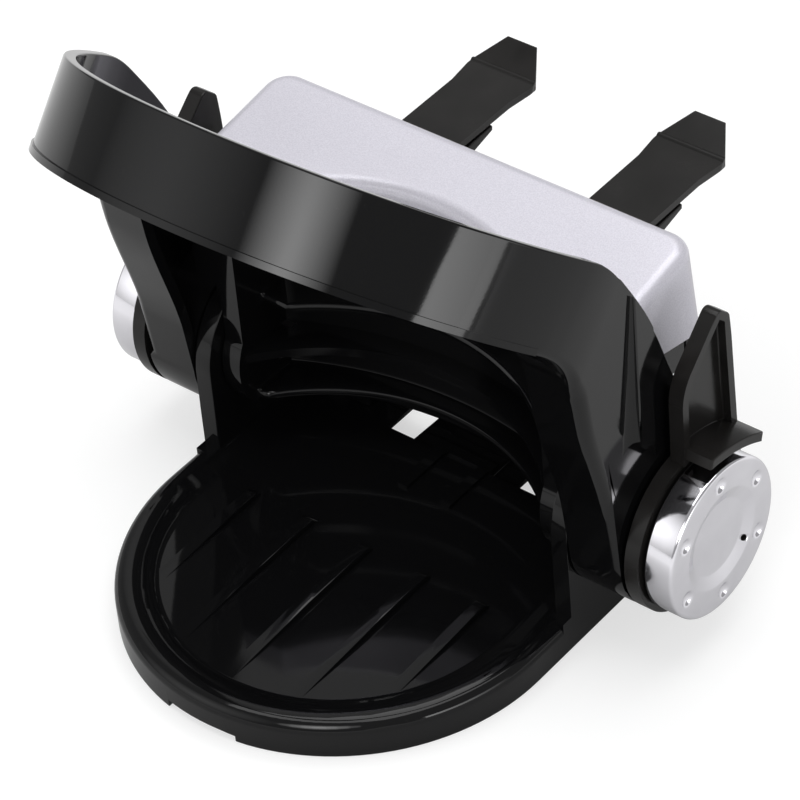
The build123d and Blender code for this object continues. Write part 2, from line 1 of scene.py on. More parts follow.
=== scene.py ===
# %% [markdown]
# A folding drink holder that hangs on a car's air vent. A black housing carries a ring arm, a
# ribbed tray and two side legs, which all swing on one axis between two chrome caps. A silver cover
# closes the top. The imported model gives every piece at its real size, in metres, already in its
# place. This lesson gives the pieces rounded edges, real finishes, turned caps, screws with a
# drive, and light.

# %% Load the model
import json
from math import cos, pi, radians, sin, tan

import bpy
from mathutils import Matrix, Vector


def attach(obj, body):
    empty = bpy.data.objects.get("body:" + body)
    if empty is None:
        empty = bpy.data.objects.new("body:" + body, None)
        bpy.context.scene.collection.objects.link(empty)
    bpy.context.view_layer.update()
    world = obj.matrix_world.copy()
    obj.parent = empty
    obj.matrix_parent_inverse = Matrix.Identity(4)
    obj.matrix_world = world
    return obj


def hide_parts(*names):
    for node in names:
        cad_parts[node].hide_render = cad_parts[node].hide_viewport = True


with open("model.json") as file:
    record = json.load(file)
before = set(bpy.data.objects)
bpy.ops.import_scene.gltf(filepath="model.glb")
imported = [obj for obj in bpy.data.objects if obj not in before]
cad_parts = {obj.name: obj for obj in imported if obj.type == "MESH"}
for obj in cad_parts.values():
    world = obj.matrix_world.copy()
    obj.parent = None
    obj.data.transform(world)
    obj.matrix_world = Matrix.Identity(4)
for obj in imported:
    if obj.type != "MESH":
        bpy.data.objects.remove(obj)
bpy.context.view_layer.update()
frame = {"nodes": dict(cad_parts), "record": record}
nodes = frame["nodes"]
scene = bpy.context.scene
MM = 0.001
print("pieces", len(nodes), "triangles", sum(len(node.data.polygons) for node in nodes.values()))

# %% [markdown]
# The camera comes first, so that every later step can be judged from the place where the object was
# photographed. A long lens far away keeps the caps' ellipses as slim as they are in the picture.
# The camera could be placed by hand and tracked to a target, but here its three axes are worked out
# from an azimuth, an elevation and a slight roll, because the photographer held the camera a little
# askew.

# %% Camera at the photograph's angle
HUB_HEIGHT = 24.3 * MM
AZIMUTH = radians(41.851)
ELEVATION = radians(40.584)
ROLL = radians(-5.448)
DISTANCE = 0.7395
LENS, SENSOR = 188.1, 36
ASIDE = 0.00566
BELOW = -0.00093


def photo_camera():
    """Camera at the photograph's angle, aimed a little beside the middle of the hub axis."""
    level = Vector((cos(AZIMUTH), sin(AZIMUTH), 0))
    back = Vector((sin(AZIMUTH) * cos(ELEVATION), -cos(AZIMUTH) * cos(ELEVATION), sin(ELEVATION)))
    upright = back.cross(level)
    right = level * cos(ROLL) + upright * sin(ROLL)
    up = upright * cos(ROLL) - level * sin(ROLL)
    place = Vector((0, 0, HUB_HEIGHT)) - right * ASIDE - up * BELOW + back * DISTANCE
    lens = bpy.data.cameras.new("photo_camera")
    lens.lens = LENS
    lens.sensor_width = SENSOR
    lens.clip_end = 20
    camera = bpy.data.objects.new("photo_camera", lens)
    axes = Matrix((right, up, back)).transposed().to_4x4()
    camera.matrix_world = Matrix.Translation(place) @ axes
    scene.collection.objects.link(camera)
    scene.camera = camera
    return camera


print("camera at", [round(value, 3) for value in photo_camera().location])

# %% [markdown]
# Materials come next. Every finish here is moulded plastic, paint or plated metal, and none of them
# is quite even: gloss plastic has faint flow waves and fine dust, satin plastic a sparked grain,
# silver paint small flakes, and plating a trace of ripple. Each of those is a noise on Object
# coordinates, which are metres on this object, so a scale of 1000 gives a grain about a millimetre
# wide. Image textures could show the same, but noise has no seams and no resolution.

# %% Helpers that add nodes and start a material
def add(tree, kind, links=None, **settings):
    """Adds a node, sets its properties, and links or sets its inputs by name or number."""
    node = tree.nodes.new(kind)
    for name, value in settings.items():
        setattr(node, name, value)
    for name, value in (links or {}).items():
        if isinstance(value, bpy.types.NodeSocket):
            tree.links.new(value, node.inputs[name])
        else:
            node.inputs[name].default_value = value
    return node


def start_finish(name, **values):
    """A new material whose shader has the given constant values, with its tree and shader."""
    finish = bpy.data.materials.new(name)
    finish.use_nodes = True
    tree = finish.node_tree
    shader = tree.nodes["Principled BSDF"]
    for socket, value in values.items():
        shader.inputs[socket.replace("_", " ")].default_value = value
    return finish, tree, shader


# %% Helpers for noise and what it drives
def noise(tree, scale, detail=2.0, rough=0.5):
    """A noise on Object coordinates; returns its grey value."""
    place = add(tree, "ShaderNodeTexCoord").outputs["Object"]
    values = {"Vector": place, "Scale": scale, "Detail": detail, "Roughness": rough}
    return add(tree, "ShaderNodeTexNoise", values).outputs["Fac"]


def between(tree, grey, low, high, start=0.35, end=0.65):
    """Spreads a range of a grey value, by default the middle of a noise, over other numbers."""
    limits = {"Value": grey, "From Min": start, "From Max": end, "To Min": low, "To Max": high}
    return add(tree, "ShaderNodeMapRange", limits).outputs["Result"]


def tint(tree, grey, dark, light, start=0.35, end=0.65):
    """Turns a noise into a colour between two given ones."""
    ramp = add(tree, "ShaderNodeValToRGB", {"Fac": grey})
    for element, place, colour in zip(ramp.color_ramp.elements, (start, end), (dark, light)):
        element.position = place
        element.color = (*colour, 1)
    return ramp.outputs["Color"]


def uneven(tree, shader, waves):
    """Bumps from noises, each given as a grey value and a height in metres."""
    normal = None
    for grey, height in waves:
        links = {"Height": grey, "Distance": height, "Strength": 1.0}
        if normal:
            links["Normal"] = normal
        normal = add(tree, "ShaderNodeBump", links).outputs["Normal"]
    tree.links.new(normal, shader.inputs["Normal"])


print("noise scale 1000 repeats about every", 1 / 1000, "m")

# %% [markdown]
# The ring, the tray and the housing are gloss black moulded plastic. Its colour is nearly black, so
# what shows is the reflection: soft where the mould was less polished and a little wavy where the
# plastic flowed. A few specks of dust lift the black. Roughness and bump come from broad noise,
# dust from fine noise with only its peaks kept.

# %% Gloss black
def gloss_black():
    """Polished black plastic with faint flow waves and fine dust."""
    finish, tree, shader = start_finish("gloss_black", IOR=1.5, Specular_IOR_Level=0.3)
    broad = noise(tree, 35.0, 3.0)
    dust = noise(tree, 1500.0, 1.0)
    black = tint(tree, dust, (0.0035, 0.0035, 0.0038), (0.009, 0.009, 0.009), 0.7, 0.85)
    tree.links.new(black, shader.inputs["Base Color"])
    tree.links.new(between(tree, broad, 0.045, 0.08), shader.inputs["Roughness"])
    uneven(tree, shader, [(noise(tree, 60.0, 1.0), 0.00005), (noise(tree, 2500.0, 1.0), 0.000001)])
    return finish


finishes = {"gloss_black": gloss_black()}
print("finish", finishes["gloss_black"].name, "nodes", len(finishes["gloss_black"].node_tree.nodes))

# %% [markdown]
# The clips and the legs are satin black: the same plastic from a spark-eroded mould, which leaves a
# fine even grain. The grain is a small bump, and a second, broader noise makes the roughness and
# the colour drift a little, as on handled plastic.

# %% Satin black
def satin_black():
    """Grained black plastic that is rubbed a little smoother in places."""
    finish, tree, shader = start_finish("satin_black", IOR=1.48, Specular_IOR_Level=0.25)
    rubbed = noise(tree, 90.0, 3.0)
    black = tint(tree, rubbed, (0.009, 0.0085, 0.008), (0.014, 0.013, 0.0125))
    tree.links.new(black, shader.inputs["Base Color"])
    tree.links.new(between(tree, rubbed, 0.17, 0.25), shader.inputs["Roughness"])
    uneven(tree, shader, [(noise(tree, 3200.0, 2.0), 0.00001)])
    return finish


finishes["satin_black"] = satin_black()
print("finish", finishes["satin_black"].name, "nodes", len(finishes["satin_black"].node_tree.nodes))

# %% [markdown]
# The cover is painted silver. Its paint holds tiny metal flakes that lie at all angles, so it looks
# like something between plastic and metal, with a cool lavender cast. A little metal in the shader
# gives the sheen, a very fine noise gives the flakes, and a broad one the slow change in the coat.

# %% Silver paint
def silver():
    """Cool silver paint with fine flakes."""
    finish, tree, shader = start_finish("silver", Metallic=0.25, Coat_Weight=0.25,
                                        Coat_Roughness=0.12)
    flakes = noise(tree, 4200.0, 2.0)
    coat = noise(tree, 45.0, 2.0)
    paint = tint(tree, flakes, (0.62, 0.605, 0.675), (0.72, 0.705, 0.775))
    tree.links.new(paint, shader.inputs["Base Color"])
    tree.links.new(between(tree, coat, 0.34, 0.42), shader.inputs["Roughness"])
    uneven(tree, shader, [(flakes, 0.000006), (noise(tree, 500.0, 1.0), 0.000008)])
    return finish


finishes["silver"] = silver()
print("finish", finishes["silver"].name, "nodes", len(finishes["silver"].node_tree.nodes))

# %% [markdown]
# The caps are chrome-plated plastic: a mirror, but one that follows the moulding below, so its
# reflections bend slightly. The screws and washers are plain steel, with rougher, streaky metal.
# Both are full metal in the shader, with noise in the roughness and the bump.

# %% Chrome and steel
def plated(name, dark, light, smooth, rough, ripple):
    """Bare or plated metal with drifting gloss and a slight ripple."""
    finish, tree, shader = start_finish(name, Metallic=1.0)
    drift = noise(tree, 120.0, 3.0)
    tree.links.new(tint(tree, drift, dark, light), shader.inputs["Base Color"])
    tree.links.new(between(tree, drift, smooth, rough), shader.inputs["Roughness"])
    uneven(tree, shader, [(noise(tree, 260.0, 1.0), ripple)])
    return finish


finishes["chrome"] = plated("chrome", (0.80, 0.79, 0.83), (0.86, 0.85, 0.89), 0.07, 0.12, 0.000012)
finishes["steel"] = plated("steel", (0.42, 0.42, 0.43), (0.55, 0.55, 0.56), 0.25, 0.38, 0.00001)
for row in frame["record"]["subparts"]:
    mesh = nodes[row["node"]].data
    mesh.materials.clear()
    mesh.materials.append(finishes[row["material_slot"]])
print("finishes", sorted(finishes))

# %% [markdown]
# No moulded edge is truly sharp, and a thin light line along each edge is what makes black plastic
# readable. The solids arrive as loose triangles with sharp edges, and their own meshes stay
# untouched, so each piece is made again from a welded copy. Flat regions melt back into single
# faces, and the edges that are sharper than 20 degrees are picked out. A Bevel modifier would round
# them in one line, but with no look at the room: at thin tips it throws long spikes. So an edge is
# rounded only where its neighbours leave space and a trial shows that no face folds over itself
# there. The back plate is small, so each helper is tried on it first.

# %% A welded copy of a solid
import bmesh

WELD_DISTANCE = 0.002 * MM
FLAT_ANGLE = radians(0.5)
SHARP_ANGLE = radians(20)


def welded(name):
    """A solid's loose triangles, welded and melted into flat faces."""
    work = bmesh.new()
    work.from_mesh(nodes[name].data)
    bmesh.ops.remove_doubles(work, verts=work.verts, dist=WELD_DISTANCE)
    bmesh.ops.dissolve_limit(work, angle_limit=FLAT_ANGLE, verts=work.verts, edges=work.edges)
    return work


def sharp_edges(work, limit=SHARP_ANGLE):
    """The edges where two faces meet at more than the limit."""
    pairs = {edge for edge in work.edges if len(edge.link_faces) == 2}
    return {edge for edge in pairs if edge.calc_face_angle() > limit}


sample = welded("back_plate")
print("back plate, triangles", len(nodes["back_plate"].data.polygons), "faces", len(sample.faces),
      "sharp edges", len(sharp_edges(sample)))

# %% Which edges have room for a rounding
THIN = 0.3
NEARLY_STRAIGHT = radians(140)
USABLE_SHARE = 0.45
TINY = 1e-6


def has_room(edge, chosen, width):
    """Whether a rounding of this width fits beside the edge's neighbours at its four corners."""
    for loop in edge.link_loops:
        after = loop.link_loop_next
        for corner, other in ((loop, loop.link_loop_prev.edge), (after, after.edge)):
            turn = corner.calc_angle()
            if other in chosen and turn > NEARLY_STRAIGHT:
                continue
            room = other.calc_length()
            need = width / max(sin(turn), TINY)
            if other in chosen:
                need = width / max(tan(turn / 2), TINY)
                room = min(room, edge.calc_length())
            if need > USABLE_SHARE * room:
                return False
    return True


def roomy_edges(work, width):
    """The sharp edges that have room; each one that drops out leaves more room for the others."""
    chosen = sharp_edges(work)
    crowded = {edge for edge in chosen if not has_room(edge, chosen, width)}
    while crowded:
        chosen -= crowded
        crowded = {edge for edge in chosen if not has_room(edge, chosen, width)}
    return chosen


print("back plate, edges with room", len(roomy_edges(sample, THIN * MM)))

# %% Which faces a rounding has folded
OVERLAP = 1.05
OVERLAP_AREA = 0.01 * MM * MM


def folded(work):
    """The faces that lie over themselves: their triangles cover more than the face does."""
    cover = {}
    for loops in work.calc_loop_triangles():
        first, second, third = (loop.vert.co for loop in loops)
        area = (second - first).cross(third - first).length / 2
        cover[loops[0].face] = cover.get(loops[0].face, 0) + area
    return [face for face, area in cover.items()
            if area > OVERLAP * face.calc_area() + OVERLAP_AREA]


print("back plate, folded faces at first", len(folded(sample)))

# %% Round edges, and leave out those that fold a face
from mathutils.kdtree import KDTree


def bevelled(work, chosen, width):
    """A copy of a mesh with the chosen edges rounded."""
    trial = work.copy()
    trial.edges.ensure_lookup_table()
    geometry = [trial.edges[index] for index in sorted(edge.index for edge in chosen)]
    bmesh.ops.bevel(trial, geom=geometry, offset=width, segments=2, offset_type="OFFSET",
                    profile=0.5, affect="EDGES", clamp_overlap=False)
    return trial


def edges_near(chosen, corners, distance):
    """The chosen edges with both ends near one of the corners."""
    if not corners:
        return set()
    tree = KDTree(len(corners))
    for index, corner in enumerate(corners):
        tree.insert(corner, index)
    tree.balance()
    return {edge for edge in chosen
            if all(tree.find(end.co)[2] < distance for end in edge.verts)}


def round_sharp(work, width):
    """A copy with those sharp edges rounded that have room and fold no face, and their number."""
    work.edges.index_update()
    chosen = roomy_edges(work, width)
    while True:
        trial = bevelled(work, chosen, width)
        corners = [corner.co for face in folded(trial) for corner in face.verts]
        spoilt = edges_near(chosen, corners, 2 * width)
        if not spoilt:
            return trial, len(chosen)
        chosen -= spoilt
        trial.free()


trial, count = round_sharp(sample, THIN * MM)
print("back plate, rounded edges", count, "folded faces", len(folded(trial)))
trial.free()
sample.free()

# %% From a worked mesh to a piece on its body
BODIES = frame["record"]["behaviour"]["bodies"]
BODY = {name: body for body, members in BODIES.items() for name in members}
SLOT = {row["node"]: row["material_slot"] for row in frame["record"]["subparts"]}
CREASE_ANGLE = radians(40)


def settle(mesh, name, plain=True):
    """Puts a mesh in a solid's place: same body, and same finish unless it brings its own."""
    piece = bpy.data.objects.new(name + "_visual", mesh)
    scene.collection.objects.link(piece)
    if plain:
        mesh.materials.clear()
        mesh.materials.append(finishes[SLOT[name]])
    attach(piece, BODY[name])
    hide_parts(name)
    return piece


def moulded(name, work, width):
    """Rounds a worked mesh, shades it smooth but for what stayed sharp, and settles it."""
    rounded, count = round_sharp(work, width)
    work.free()
    for face in rounded.faces:
        face.smooth = True
    for edge in sharp_edges(rounded, CREASE_ANGLE):
        edge.smooth = False
    left = len(folded(rounded))
    mesh = bpy.data.meshes.new(name + "_visual")
    rounded.to_mesh(mesh)
    rounded.free()
    piece = settle(mesh, name)
    even = piece.modifiers.new("even_shading", "WEIGHTED_NORMAL")
    even.keep_sharp = True
    print(name, "rounded edges", count, "faces", len(mesh.polygons), "folded", left)


print("solids on each body", {body: len(members) for body, members in BODIES.items()})

# %% Round the plain mouldings
ROUNDING = {
    "housing": 0.7, "top_cover": 0.4, "back_plate": THIN, "vent_clip_left": THIN,
    "vent_clip_right": THIN, "support_leg_left": THIN, "support_leg_right": THIN,
}
for name, width in ROUNDING.items():
    moulded(name, welded(name), width * MM)

# %% [markdown]
# The ring arm and the tray each need one wider rounding. Where the ring's cheek turns into the
# inward flange, the moulding has a soft corner that catches the light as a bright strip from the
# hub up to the band, and fades out there. The tray's rim rolls softly into its dish. A Bevel
# modifier can vary its width along an edge by weights, so the edges get a weight from their place,
# and the thin rounding of all other edges follows as before.

# %% Where the ring arm's corner is soft
RING_RAISE = radians(39.5)
RING_OUTER = 52.8 * MM
SOFT_BAND = 3 * MM
SIDEWAYS, DOWNWARDS, NOT_SIDEWAYS = 0.93, -0.25, 0.2
# mm in front of the hub axis
SOFT_FROM, SOFT_TO = 12, 62
HUB_FADE, HUB_FADE_LENGTH = 8, 12
BAND_FADE, BAND_FADE_LENGTH = 66, 16
LEAST_SHARE = 0.15


def lowered(point):
    """A point of the raised arm, turned back about the hub axis to where the arm is level."""
    y, z = point.y, point.z - HUB_HEIGHT
    along, up = cos(RING_RAISE), sin(RING_RAISE)
    return Vector((point.x, y * along - z * up, y * up + z * along))


def corner_weight(edge):
    """Share of the full width at an edge: all of it on the cheek, less at the band and the hub."""
    middle = lowered((edge.verts[0].co + edge.verts[1].co) / 2)
    turned = [lowered(face.normal + Vector((0, 0, HUB_HEIGHT))) for face in edge.link_faces]
    outwards = any(abs(normal.x) > SIDEWAYS for normal in turned)
    downwards = any(normal.z < DOWNWARDS and abs(normal.x) < NOT_SIDEWAYS for normal in turned)
    if not (outwards and downwards and abs(middle.x) > RING_OUTER - SOFT_BAND):
        return 0.0
    depth = -middle.y / MM
    if depth < SOFT_FROM or depth > SOFT_TO:
        return 0.0
    at_hub = (depth - HUB_FADE) / HUB_FADE_LENGTH
    at_band = (BAND_FADE - depth) / BAND_FADE_LENGTH
    return max(LEAST_SHARE, min(1.0, at_hub, at_band))


print("ring arm, soft from", SOFT_FROM, "to", SOFT_TO, "mm in front of the hub axis")


# %% Where the tray's rim is soft
TRAY_TOP = 7.4 * MM
SAME_LEVEL = 0.05 * MM
FLAT_RIM, STEEPEST, FLATTEST = 0.99, 0.8, 0.97
# mm in front of the hub axis
RIM_FADE, RIM_FADE_LENGTH = 19, 12


def rim_weight(edge):
    """Full width where the tray's flat rim turns down into the dish, none towards the ears."""
    level = all(abs(corner.co.z - TRAY_TOP) < SAME_LEVEL for corner in edge.verts)
    slopes = [face.normal.z for face in edge.link_faces]
    if not (level and max(slopes) > FLAT_RIM and STEEPEST < min(slopes) < FLATTEST):
        return 0.0
    depth = -(edge.verts[0].co.y + edge.verts[1].co.y) / 2 / MM
    return max(0.0, min(1.0, (depth - RIM_FADE) / RIM_FADE_LENGTH))


print("tray rim, full width from", RIM_FADE + RIM_FADE_LENGTH, "mm in front of the hub axis")


# %% Round edges by their weight
def plain_mesh(holder):
    """What an object's modifiers make of its mesh; the object itself is removed."""
    depsgraph = bpy.context.evaluated_depsgraph_get()
    mesh = bpy.data.meshes.new_from_object(holder.evaluated_get(depsgraph))
    bpy.data.objects.remove(holder)
    return mesh


def soft_corner(name, weight, width):
    """A copy of a solid with some edges rounded by weight, converted to a plain mesh."""
    work = welded(name)
    sharp = sharp_edges(work)
    weights = [weight(edge) if edge in sharp else 0.0 for edge in work.edges]
    mesh = bpy.data.meshes.new("soft_corner")
    work.to_mesh(mesh)
    work.free()
    layer = mesh.attributes.new("bevel_weight_edge", "FLOAT", "EDGE")
    layer.data.foreach_set("value", weights)
    holder = bpy.data.objects.new("soft_corner", mesh)
    scene.collection.objects.link(holder)
    bevel = holder.modifiers.new("corner", "BEVEL")
    bevel.limit_method = "WEIGHT"
    bevel.width = width
    bevel.segments = 5
    bevel.use_clamp_overlap = False
    made = plain_mesh(holder)
    rounded = bmesh.new()
    rounded.from_mesh(made)
    print(name, "soft edges", sum(share > 0 for share in weights))
    return rounded


# name: weight, soft width in mm, width of the other edges in mm
SOFT = {"ring_arm": (corner_weight, 2.2, 0.4), "tray": (rim_weight, 2.0, 0.35)}
for name, (weight, wide, thin) in SOFT.items():
    moulded(name, soft_corner(name, weight, wide * MM), thin * MM)

# %% [markdown]
# Each hub cap is a turned shape with a sunk disc, six dimples and one pinhole. It could be spun
# with the Screw modifier, but then the dimples would need cutting. Here Geometry Nodes turn a
# profile: a grid has one row for each profile point and one column for each step round the axis,
# and Set Position bends it into the cap. The dimples are only distances in that same field, so the
# grid sinks there and stays one clean skin, which chrome needs. The pinhole has sharp walls, so a
# Mesh Boolean drills it with a black cylinder, whose colour stays on the walls of the hole. That
# black is a painted shade: black plastic in place of the dark inside of a hole in chrome.

# %% A tree with named inputs
CAP_INPUTS = {
    "Profile": "Geometry", "Steps": "Int", "Corner points": "Int", "Dimples": "Int",
    "Dimple circle": "Float", "Dimple radius": "Float", "Dimple depth": "Float",
    "Pinhole circle": "Float", "Pinhole angle": "Float", "Pinhole radius": "Float",
    "Pinhole level": "Float", "Pinhole depth": "Float", "Face from": "Float", "Start": "Float",
    "Side": "Float", "Height": "Float", "Material": "Material", "Hole shade material": "Material",
}


def start_tree(name, inputs):
    """A geometry tree with named inputs; returns it with its two ends."""
    tree = bpy.data.node_groups.new(name, "GeometryNodeTree")
    tree.interface.new_socket("Geometry", in_out="OUTPUT", socket_type="NodeSocketGeometry")
    for label, kind in inputs.items():
        tree.interface.new_socket(label, in_out="INPUT", socket_type="NodeSocket" + kind)
    given = tree.nodes.new("NodeGroupInput").outputs
    return tree, given, tree.nodes.new("NodeGroupOutput").inputs


cap_tree, cap_given, cap_made = start_tree("turned_cap", CAP_INPUTS)
print("cap tree, inputs", len(CAP_INPUTS))


# %% The profile's line, and a grid to bend
def calc(tree, operation, first, second=0.0, third=0.0):
    """One step of arithmetic on fields."""
    values = {0: first, 1: second, 2: third}
    return add(tree, "ShaderNodeMath", values, operation=operation).outputs[0]


def profile_grid(tree, given):
    """The profile with its corners rounded, its number of points, and a grid with as many rows."""
    line = add(tree, "GeometryNodeMeshToCurve", {"Mesh": given["Profile"]}).outputs["Curve"]
    corner = add(tree, "GeometryNodeInputNamedAttribute", {"Name": "round"}, data_type="FLOAT")
    bend = {"Curve": line, "Count": given["Corner points"],
            "Radius": corner.outputs["Attribute"], "Limit Radius": True}
    line = add(tree, "GeometryNodeFilletCurve", bend, mode="POLY").outputs["Curve"]
    size = add(tree, "GeometryNodeAttributeDomainSize", {"Geometry": line}, component="CURVE")
    rows = size.outputs["Point Count"]
    columns = calc(tree, "ADD", given["Steps"], 1.0)
    grid = add(tree, "GeometryNodeMeshGrid", {"Vertices X": columns, "Vertices Y": rows})
    return line, rows, grid.outputs["Mesh"]


line, rows, grid = profile_grid(cap_tree, cap_given)
print("cap tree, nodes with the grid", len(cap_tree.nodes))


# %% Where each point of the grid goes
def turned_point(tree, given, line, rows):
    """Radius, height and angle of a grid point on the cap, from its row and its column."""
    index = add(tree, "GeometryNodeInputIndex").outputs["Index"]
    row = calc(tree, "MODULO", index, rows)
    column = calc(tree, "FLOOR", calc(tree, "DIVIDE", calc(tree, "ADD", index, 0.5), rows))
    place = add(tree, "GeometryNodeInputPosition").outputs["Position"]
    picked = add(tree, "GeometryNodeSampleIndex", {"Geometry": line, "Index": row},
                 data_type="FLOAT_VECTOR", domain="POINT")
    tree.links.new(place, picked.inputs["Value"])
    point = add(tree, "ShaderNodeSeparateXYZ", {"Vector": picked.outputs["Value"]}).outputs
    angle = calc(tree, "MULTIPLY", calc(tree, "DIVIDE", column, given["Steps"]), 2 * pi)
    return point["X"], point["Y"], angle


radius, height, angle = turned_point(cap_tree, cap_given, line, rows)
print("cap tree, nodes with the turn", len(cap_tree.nodes))


# %% The dimples
def sunk(tree, radius, angle, at_radius, at_angle, size, depth):
    """Depth of a round bowl at a polar place on the cap's face."""
    turn = calc(tree, "SUBTRACT", angle, at_angle)
    reach = calc(tree, "MULTIPLY", radius, calc(tree, "COSINE", turn))
    along = calc(tree, "SUBTRACT", reach, at_radius)
    across = calc(tree, "MULTIPLY", radius, calc(tree, "SINE", turn))
    square = calc(tree, "MULTIPLY_ADD", along, along, calc(tree, "MULTIPLY", across, across))
    part = calc(tree, "DIVIDE", square, calc(tree, "MULTIPLY", size, size))
    left = calc(tree, "MAXIMUM", calc(tree, "SUBTRACT", 1.0, part), 0.0)
    return calc(tree, "MULTIPLY", left, depth)


def dimples(tree, given, radius, height, angle):
    """How far the dimple in a point's own sector sinks it, if it lies on the face."""
    sector = calc(tree, "DIVIDE", 2 * pi, given["Dimples"])
    passed = calc(tree, "FLOOR", calc(tree, "DIVIDE", angle, sector))
    middle = calc(tree, "MULTIPLY", calc(tree, "ADD", passed, 0.5), sector)
    dip = sunk(tree, radius, angle, given["Dimple circle"], middle,
               given["Dimple radius"], given["Dimple depth"])
    return calc(tree, "MULTIPLY", dip, calc(tree, "GREATER_THAN", height, given["Face from"]))


sink = dimples(cap_tree, cap_given, radius, height, angle)
print("cap tree, nodes with the dimples", len(cap_tree.nodes))

# %% The turned skin
SEAM = 0.003 * MM


def painted(tree, geometry, material):
    """Gives a geometry its material."""
    links = {"Geometry": geometry, "Material": material}
    return add(tree, "GeometryNodeSetMaterial", links).outputs["Geometry"]


def turned_skin(tree, given, grid, radius, out, angle):
    """Bends the grid round the hub axis, closes its seam and gives it its finish."""
    x = calc(tree, "MULTIPLY", calc(tree, "ADD", out, given["Start"]), given["Side"])
    y = calc(tree, "MULTIPLY", radius, calc(tree, "COSINE", angle))
    z = calc(tree, "MULTIPLY_ADD", radius, calc(tree, "SINE", angle), given["Height"])
    place = add(tree, "ShaderNodeCombineXYZ", {"X": x, "Y": y, "Z": z}).outputs["Vector"]
    move = {"Geometry": grid, "Position": place}
    skin = add(tree, "GeometryNodeSetPosition", move).outputs["Geometry"]
    seam = {"Geometry": skin, "Distance": SEAM}
    skin = add(tree, "GeometryNodeMergeByDistance", seam).outputs["Geometry"]
    smooth = {"Geometry": skin, "Shade Smooth": True}
    skin = add(tree, "GeometryNodeSetShadeSmooth", smooth).outputs["Geometry"]
    return painted(tree, skin, given["Material"])


out = calc(cap_tree, "SUBTRACT", height, sink)
skin = turned_skin(cap_tree, cap_given, grid, radius, out, angle)
print("cap tree, nodes with the skin", len(cap_tree.nodes))


# %% The pinhole
def drill(tree, given):
    """A black cylinder along X at the pinhole's polar place, half of it below the cap's skin."""
    length = calc(tree, "MULTIPLY", given["Pinhole depth"], 2.0)
    size = {"Vertices": 28, "Radius": given["Pinhole radius"], "Depth": length}
    rod = add(tree, "GeometryNodeMeshCylinder", size).outputs["Mesh"]
    circle, turn = given["Pinhole circle"], given["Pinhole angle"]
    level = calc(tree, "ADD", given["Start"], given["Pinhole level"])
    x = calc(tree, "MULTIPLY", level, given["Side"])
    y = calc(tree, "MULTIPLY", circle, calc(tree, "COSINE", turn))
    z = calc(tree, "MULTIPLY_ADD", circle, calc(tree, "SINE", turn), given["Height"])
    place = add(tree, "ShaderNodeCombineXYZ", {"X": x, "Y": y, "Z": z}).outputs["Vector"]
    across = {"Geometry": rod, "Translation": place, "Rotation": (0, pi / 2, 0)}
    rod = add(tree, "GeometryNodeTransform", across).outputs["Geometry"]
    # The hole's walls get black instead of chrome, as a painted shade for the dark inside the hole.
    return painted(tree, rod, given["Hole shade material"])


def drilled(tree, given, skin):
    """The skin with its pinhole, as one mesh."""
    meshes = {"Mesh 1": skin, "Mesh 2": drill(tree, given)}
    cut = add(tree, "GeometryNodeMeshBoolean", meshes, operation="DIFFERENCE", solver="EXACT")
    whole = {"Geometry": cut.outputs["Mesh"]}
    return add(tree, "GeometryNodeRealizeInstances", whole).outputs["Geometry"]


cap_tree.links.new(drilled(cap_tree, cap_given, skin), cap_made["Geometry"])
print("cap tree, nodes in all", len(cap_tree.nodes))

# %% The cap's profile
CAP_START = 57.0
CAP_FACE = 5.5
CAP_DISC = 4.6
DIMPLE_FROM, DIMPLE_STEP, DIMPLE_ROWS = 10.2, 0.16, 24
# radius, height and rounding in mm, from the middle of the face round to the pin's seat
CAP_CORNERS = [(0, CAP_DISC, 0), (7.3, CAP_DISC, 0.9), (9.7, CAP_FACE, 0.9)]
CAP_CORNERS += [(DIMPLE_FROM + DIMPLE_STEP * row, CAP_FACE, 0) for row in range(DIMPLE_ROWS)]
CAP_CORNERS += [(15.0, CAP_FACE, 0.6), (15.0, 0, 0.3), (13.2, 0, 0.2), (13.2, 2.8, 0.3)]
CAP_CORNERS += [(6.4, 2.8, 0.3), (6.4, 0, 0.2), (4.0, 0, 0.2), (4.0, 3.6, 0.2), (0, 3.6, 0)]


def cap_profile():
    """A mesh of lines along the cap's corners, with the rounding at each as an attribute."""
    seed = bpy.data.meshes.new("cap_profile")
    points = [(radius * MM, height * MM, 0) for radius, height, rounding in CAP_CORNERS]
    seed.from_pydata(points, [(step, step + 1) for step in range(len(points) - 1)], [])
    layer = seed.attributes.new("round", "FLOAT", "POINT")
    layer.data.foreach_set("value", [rounding * MM for radius, height, rounding in CAP_CORNERS])
    return seed


print("cap profile, corners", len(CAP_CORNERS), "radius", max(CAP_CORNERS)[0], "mm")


# %% Turn both caps
def set_inputs(modifier, values):
    """Sets a node modifier's named inputs by their identifiers."""
    for item in modifier.node_group.interface.items_tree:
        if item.in_out == "INPUT" and item.name in values:
            modifier[item.identifier] = values[item.name]


def grow(tree, seed, values):
    """Runs a tree on a mesh of points or lines; returns a plain mesh that faces outwards."""
    holder = bpy.data.objects.new("seed", seed)
    scene.collection.objects.link(holder)
    modifier = holder.modifiers.new("grow", "NODES")
    modifier.node_group = tree
    set_inputs(modifier, values)
    mesh = plain_mesh(holder)
    work = bmesh.new()
    work.from_mesh(mesh)
    bmesh.ops.recalc_face_normals(work, faces=work.faces)
    work.to_mesh(mesh)
    work.free()
    return mesh


